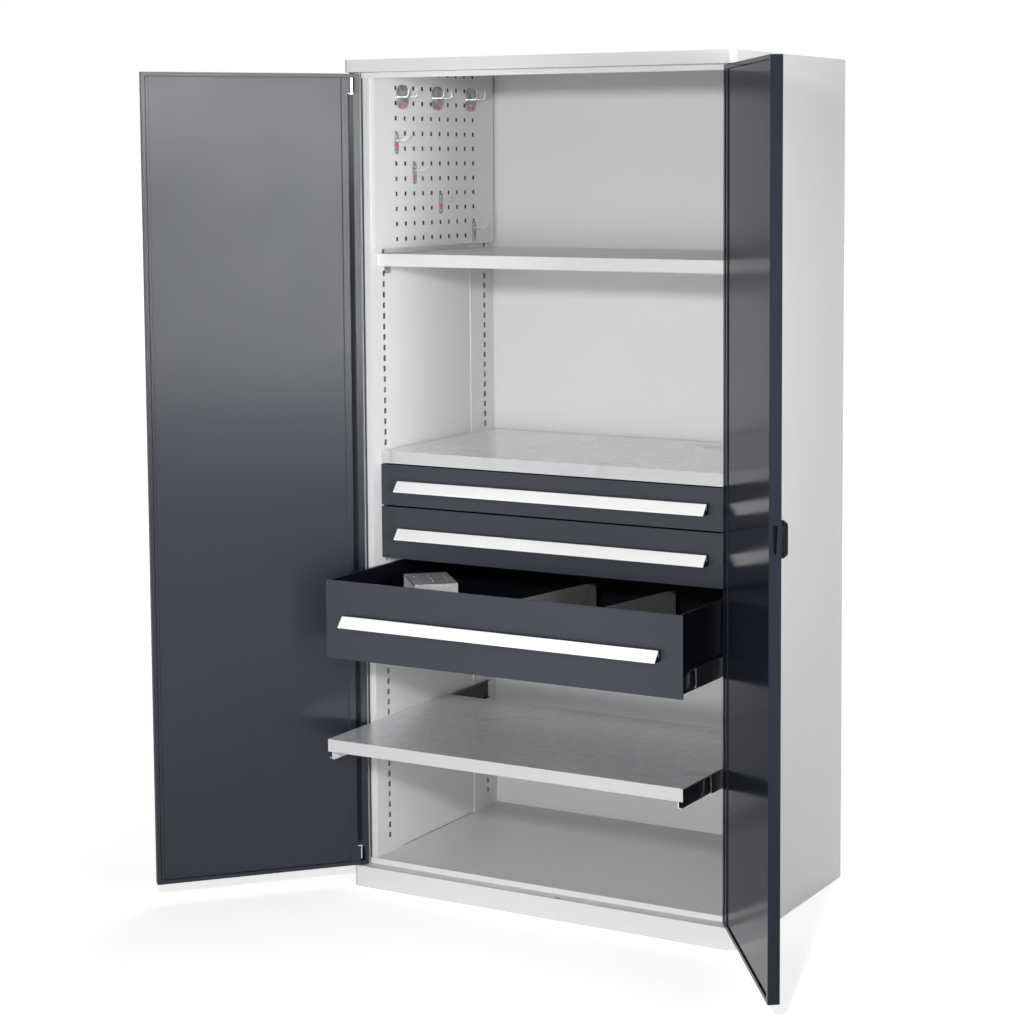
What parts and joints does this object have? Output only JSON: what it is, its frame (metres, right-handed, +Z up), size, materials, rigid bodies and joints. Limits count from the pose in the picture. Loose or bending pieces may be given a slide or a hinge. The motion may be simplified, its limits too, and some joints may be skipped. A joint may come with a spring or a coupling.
{
  "type": "storage cabinet",
  "caption": "Tall sheet-steel storage cabinet with two hinged lockable doors, drawers, shelves, a pull-out shelf and a perforated tool panel with hooks.",
  "frame": {"origin": "on the floor at the centre of the carcass's footprint", "axes": "+Z up, -Y towards the user who stands in front of the cabinet, +X to that user's right"},
  "size_m": [1.6009, 0.9852, 1.95],
  "materials": {
    "carcass_paint": "satin",
    "door_paint": "gloss",
    "drawer_paint": "satin",
    "drawer_inside": "satin",
    "galvanised": "spangled",
    "aluminium": "satin",
    "chrome": "polished",
    "zinc": "satin",
    "black_plastic": "satin",
    "red_plastic": "satin"
  },
  "bodies": {
    "carcass": {"side_panel_left": "carcass_paint", "side_panel_right": "carcass_paint", "back_panel": "carcass_paint", "top_cover": "carcass_paint", "ceiling_panel": "carcass_paint", "plinth": "carcass_paint", "floor_panel": "carcass_paint", "upright_front_left": "carcass_paint", "upright_front_right": "carcass_paint", "upright_rear_left": "carcass_paint", "upright_rear_right": "carcass_paint", "wall_liner_left": "carcass_paint", "wall_liner_right": "carcass_paint", "hinge_bushes": "black_plastic", "upper_shelf": "carcass_paint", "fixed_shelf": "galvanised", "shelf_clips": "zinc", "slide_outer_members": "zinc", "perforated_panel": "carcass_paint", "double_hooks": "chrome", "single_hooks": "chrome", "hook_caps": "red_plastic"},
    "left_door": {"left_door_shell": "door_paint", "left_door_liner": "door_paint", "left_hinge_pins": "chrome"},
    "right_door": {"right_door_shell": "door_paint", "right_door_liner": "door_paint", "right_hinge_pins": "chrome", "latch_insert": "black_plastic", "lock_case": "zinc", "rod_guides": "black_plastic", "handle_rose": "black_plastic"},
    "door_handle": {"lock_handle": "black_plastic"},
    "key_cylinder": {"key_plug": "chrome"},
    "upper_rod": {"lock_rod_upper": "zinc"},
    "lower_rod": {"lock_rod_lower": "zinc"},
    "drawer_1": {"drawer_1_front": "drawer_paint", "drawer_1_box": "drawer_inside", "drawer_1_grip": "aluminium", "drawer_1_grip_seat": "black_plastic", "drawer_1_inner_slides": "zinc"},
    "drawer_1_runners": {"drawer_1_middle_slides": "zinc"},
    "drawer_2": {"drawer_2_front": "drawer_paint", "drawer_2_box": "drawer_inside", "drawer_2_grip": "aluminium", "drawer_2_grip_seat": "black_plastic", "drawer_2_inner_slides": "zinc"},
    "drawer_2_runners": {"drawer_2_middle_slides": "zinc"},
    "drawer_3": {"drawer_3_front": "drawer_paint", "drawer_3_box": "drawer_inside", "drawer_3_grip": "aluminium", "drawer_3_grip_seat": "black_plastic", "drawer_3_inner_slides": "zinc", "drawer_3_partitions": "galvanised", "punched_plate": "galvanised"},
    "drawer_3_runners": {"drawer_3_middle_slides": "zinc"},
    "pull_shelf": {"pullout_shelf": "galvanised", "shelf_inner_slides": "zinc"},
    "pull_shelf_runners": {"shelf_middle_slides": "zinc"}
  },
  "joints": [
    {"name": "left_door_swing", "type": "hinge", "parent": "carcass", "child": "left_door", "pos_m": [-0.4845, -0.2875, 0.98575], "axis": [0, 0, -1], "range_deg": [-43, 47]},
    {"name": "right_door_swing", "type": "hinge", "parent": "carcass", "child": "right_door", "pos_m": [0.4845, -0.2875, 0.98575], "axis": [0, 0, 1], "range_deg": [-36, 54]},
    {"name": "handle_turn", "type": "hinge", "parent": "right_door", "child": "door_handle", "pos_m": [0.73666, -0.63457, 0.975], "axis": [0.809, 0.5878, 0], "range_deg": [0, 90]},
    {"name": "key_turn", "type": "hinge", "parent": "door_handle", "child": "key_cylinder", "pos_m": [0.73666, -0.63457, 0.975], "axis": [0.809, 0.5878, 0], "range_deg": [0, 90]},
    {"name": "upper_rod_slide", "type": "slide", "parent": "right_door", "child": "upper_rod", "axis": [0, 0, 1], "range_m": [0, 0.014]},
    {"name": "lower_rod_slide", "type": "slide", "parent": "right_door", "child": "lower_rod", "axis": [0, 0, -1], "range_m": [0, 0.014]},
    {"name": "drawer_1_slide", "type": "slide", "parent": "carcass", "child": "drawer_1", "axis": [0, -1, 0], "range_m": [0, 0.45]},
    {"name": "drawer_1_runners_slide", "type": "slide", "parent": "carcass", "child": "drawer_1_runners", "axis": [0, -1, 0], "range_m": [0, 0.369]},
    {"name": "drawer_2_slide", "type": "slide", "parent": "carcass", "child": "drawer_2", "axis": [0, -1, 0], "range_m": [0, 0.45]},
    {"name": "drawer_2_runners_slide", "type": "slide", "parent": "carcass", "child": "drawer_2_runners", "axis": [0, -1, 0], "range_m": [0, 0.369]},
    {"name": "drawer_3_slide", "type": "slide", "parent": "carcass", "child": "drawer_3", "axis": [0, -1, 0], "range_m": [-0.23, 0.22]},
    {"name": "drawer_3_runners_slide", "type": "slide", "parent": "carcass", "child": "drawer_3_runners", "axis": [0, -1, 0], "range_m": [-0.1886, 0.1804]},
    {"name": "pull_shelf_slide", "type": "slide", "parent": "carcass", "child": "pull_shelf", "axis": [0, -1, 0], "range_m": [-0.23, 0.22]},
    {"name": "pull_shelf_runners_slide", "type": "slide", "parent": "carcass", "child": "pull_shelf_runners", "axis": [0, -1, 0], "range_m": [-0.092, 0.088]}
  ],
  "couplings": [
    {"joint": "handle_turn", "follows": "upper_rod_slide", "rad_per_m": 112},
    {"joint": "lower_rod_slide", "follows": "upper_rod_slide", "ratio": 1},
    {"joint": "drawer_1_runners_slide", "follows": "drawer_1_slide", "ratio": 0.82},
    {"joint": "drawer_2_runners_slide", "follows": "drawer_2_slide", "ratio": 0.82},
    {"joint": "drawer_3_runners_slide", "follows": "drawer_3_slide", "ratio": 0.82},
    {"joint": "pull_shelf_runners_slide", "follows": "pull_shelf_slide", "ratio": 0.4}
  ]
}
